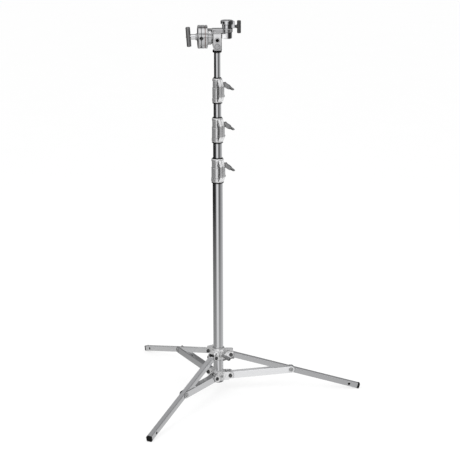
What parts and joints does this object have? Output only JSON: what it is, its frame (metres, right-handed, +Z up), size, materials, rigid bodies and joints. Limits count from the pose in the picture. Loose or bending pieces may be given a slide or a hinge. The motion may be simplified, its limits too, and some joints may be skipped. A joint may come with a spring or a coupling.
{
  "type": "telescoping grip stand with folding legs",
  "caption": "Wide-base chrome grip stand: folding braced legs, telescoping column with lever clamps, disc grip head and junior socket.",
  "frame": {"origin": "on the column's axis at floor level", "axes": "+Z up along the column; +X along leg 1, which is also the line of the head's screw axes"},
  "size_m": [1.117, 1.2884, 1.928],
  "materials": {
    "tube_chrome": "bright chrome plate on drawn steel tube",
    "leg_chrome": "bright chrome plate on square steel tube",
    "brace_chrome": "bright chrome plate on folded steel channel",
    "cast_metal": "polished casting",
    "jaw_metal": "turned and plated casting",
    "lever_metal": "satin casting",
    "fastener_steel": "zinc plated steel",
    "handle_steel": "dark plated steel",
    "friction_disc": "copper-coloured friction disc",
    "brass_pad": "turned brass",
    "guide_plastic": "moulded nylon",
    "black_plastic": "moulded black plastic",
    "foot_rubber": "moulded rubber"
  },
  "bodies": {
    "base": {"base_tube": "tube_chrome", "base_tube_plug": "black_plastic", "bottom_collar": "cast_metal", "bottom_collar_screws": "fastener_steel", "brace_pivot_bolts": "handle_steel", "lower_clamp": "cast_metal", "lower_clamp_bush": "guide_plastic", "lower_clamp_ring": "black_plastic", "lower_clamp_screw": "fastener_steel"},
    "leg_collar": {"leg_collar": "cast_metal", "leg_collar_bush": "guide_plastic", "leg_pivot_bolts": "handle_steel"},
    "collar_lock_pad": {"collar_lock_pad": "brass_pad"},
    "collar_lock_knob": {"collar_lock_knob": "handle_steel"},
    "leg_1": {"leg_1": "leg_chrome", "leg_1_foot": "foot_rubber"},
    "leg_2": {"leg_2": "leg_chrome", "leg_2_foot": "foot_rubber"},
    "leg_3": {"leg_3": "leg_chrome", "leg_3_foot": "foot_rubber"},
    "brace_1": {"brace_1": "brace_chrome", "brace_1_studs": "fastener_steel"},
    "brace_2": {"brace_2": "brace_chrome", "brace_2_studs": "fastener_steel"},
    "brace_3": {"brace_3": "brace_chrome", "brace_3_studs": "fastener_steel"},
    "riser_1": {"riser_1": "tube_chrome", "riser_1_guide": "guide_plastic", "middle_clamp": "cast_metal", "middle_clamp_bush": "guide_plastic", "middle_clamp_ring": "black_plastic", "middle_clamp_screw": "fastener_steel"},
    "riser_2": {"riser_2": "tube_chrome", "riser_2_guide": "guide_plastic", "upper_clamp": "cast_metal", "upper_clamp_bush": "guide_plastic", "upper_clamp_ring": "black_plastic", "upper_clamp_screw": "fastener_steel"},
    "riser_3": {"riser_3": "tube_chrome", "riser_3_guide": "guide_plastic", "head_ring": "black_plastic", "head_body": "cast_metal", "head_arm": "cast_metal", "head_screws": "fastener_steel", "junior_receiver": "cast_metal", "grip_hub": "cast_metal", "grip_back_plate": "jaw_metal", "grip_friction_disc": "friction_disc"},
    "lower_lever": {"lower_lever": "lever_metal", "lower_lever_bolt": "fastener_steel"},
    "middle_lever": {"middle_lever": "lever_metal", "middle_lever_bolt": "fastener_steel"},
    "upper_lever": {"upper_lever": "lever_metal", "upper_lever_bolt": "fastener_steel"},
    "grip_inner_jaw": {"grip_inner_jaw": "jaw_metal"},
    "grip_outer_jaw": {"grip_outer_jaw": "jaw_metal"},
    "grip_handle": {"grip_handle": "handle_steel"},
    "receiver_pad": {"receiver_pad": "brass_pad"},
    "receiver_handle": {"receiver_handle": "handle_steel"}
  },
  "joints": [
    {"name": "leg_fold", "type": "slide", "parent": "base", "child": "leg_collar", "axis": [0, 0, 1], "range_m": [0, 0.52614]},
    {"name": "leg_1_hinge", "type": "hinge", "parent": "leg_collar", "child": "leg_1", "pos_m": [0.0643, 0, 0.2046], "axis": [0, 1, 0], "range_deg": [0, 72.18]},
    {"name": "leg_2_hinge", "type": "hinge", "parent": "leg_collar", "child": "leg_2", "pos_m": [-0.03215, 0.05569, 0.2046], "axis": [-0.866, -0.5, 0], "range_deg": [0, 72.18]},
    {"name": "leg_3_hinge", "type": "hinge", "parent": "leg_collar", "child": "leg_3", "pos_m": [-0.03215, -0.05569, 0.2046], "axis": [0.866, -0.5, 0], "range_deg": [0, 72.18]},
    {"name": "brace_1_hinge", "type": "hinge", "parent": "base", "child": "brace_1", "pos_m": [0.0607, 0, 0.0913], "axis": [0, -1, 0], "range_deg": [0, 83.19]},
    {"name": "brace_2_hinge", "type": "hinge", "parent": "base", "child": "brace_2", "pos_m": [-0.03035, 0.05257, 0.0913], "axis": [0.866, 0.5, 0], "range_deg": [0, 83.19]},
    {"name": "brace_3_hinge", "type": "hinge", "parent": "base", "child": "brace_3", "pos_m": [-0.03035, -0.05257, 0.0913], "axis": [-0.866, 0.5, 0], "range_deg": [0, 83.19]},
    {"name": "collar_lock_pad_slide", "type": "slide", "parent": "leg_collar", "child": "collar_lock_pad", "axis": [0.5, -0.866, 0], "range_m": [0, 0.0016]},
    {"name": "collar_lock_knob_turn", "type": "hinge", "parent": "collar_lock_pad", "child": "collar_lock_knob", "pos_m": [0.0475, -0.08227, 0.207], "axis": [0.5, -0.866, 0], "range_deg": [0, 360]},
    {"name": "riser_1_slide", "type": "slide", "parent": "base", "child": "riser_1", "axis": [0, 0, 1], "range_m": [0, 0.9]},
    {"name": "riser_2_slide", "type": "slide", "parent": "riser_1", "child": "riser_2", "axis": [0, 0, 1], "range_m": [0, 0.95]},
    {"name": "riser_3_slide", "type": "slide", "parent": "riser_2", "child": "riser_3", "axis": [0, 0, 1], "range_m": [0, 1]},
    {"name": "lower_lever_turn", "type": "hinge", "parent": "base", "child": "lower_lever", "pos_m": [0.0191, -0.03308, 1.211], "axis": [0.866, 0.5, 0], "range_deg": [-75, 45]},
    {"name": "middle_lever_turn", "type": "hinge", "parent": "riser_1", "child": "middle_lever", "pos_m": [0.01751, -0.03033, 1.417], "axis": [0.866, 0.5, 0], "range_deg": [-75, 45]},
    {"name": "upper_lever_turn", "type": "hinge", "parent": "riser_2", "child": "upper_lever", "pos_m": [0.01593, -0.02758, 1.615], "axis": [0.866, 0.5, 0], "range_deg": [-75, 45]},
    {"name": "grip_jaw_turn", "type": "hinge", "parent": "riser_3", "child": "grip_inner_jaw", "pos_m": [-0.07, 0, 1.8487], "axis": [1, 0, 0], "continuous": true},
    {"name": "grip_jaw_slide", "type": "slide", "parent": "grip_inner_jaw", "child": "grip_outer_jaw", "axis": [-1, 0, 0], "range_m": [0, 0.0041]},
    {"name": "grip_handle_turn", "type": "hinge", "parent": "grip_outer_jaw", "child": "grip_handle", "pos_m": [-0.14, 0, 1.8487], "axis": [-1, 0, 0], "range_deg": [0, 720]},
    {"name": "receiver_pad_slide", "type": "slide", "parent": "riser_3", "child": "receiver_pad", "axis": [-1, 0, 0], "range_m": [0, 0.0031]},
    {"name": "receiver_handle_turn", "type": "hinge", "parent": "receiver_pad", "child": "receiver_handle", "pos_m": [0.107, 0, 1.898], "axis": [-1, 0, 0], "range_deg": [0, 720]}
  ],
  "couplings": [
    {"joint": "leg_1_hinge", "follows": "leg_fold", "rad_per_m": 2.3937},
    {"joint": "leg_2_hinge", "follows": "leg_fold", "rad_per_m": 2.3937},
    {"joint": "leg_3_hinge", "follows": "leg_fold", "rad_per_m": 2.3937},
    {"joint": "brace_1_hinge", "follows": "leg_fold", "rad_per_m": 2.7588},
    {"joint": "brace_2_hinge", "follows": "leg_fold", "rad_per_m": 2.7588},
    {"joint": "brace_3_hinge", "follows": "leg_fold", "rad_per_m": 2.7588},
    {"joint": "collar_lock_pad_slide", "follows": "collar_lock_knob_turn", "m_per_rad": 0.00023873},
    {"joint": "grip_jaw_slide", "follows": "grip_handle_turn", "m_per_rad": 0.00031831},
    {"joint": "receiver_pad_slide", "follows": "receiver_handle_turn", "m_per_rad": 0.00023873}
  ]
}
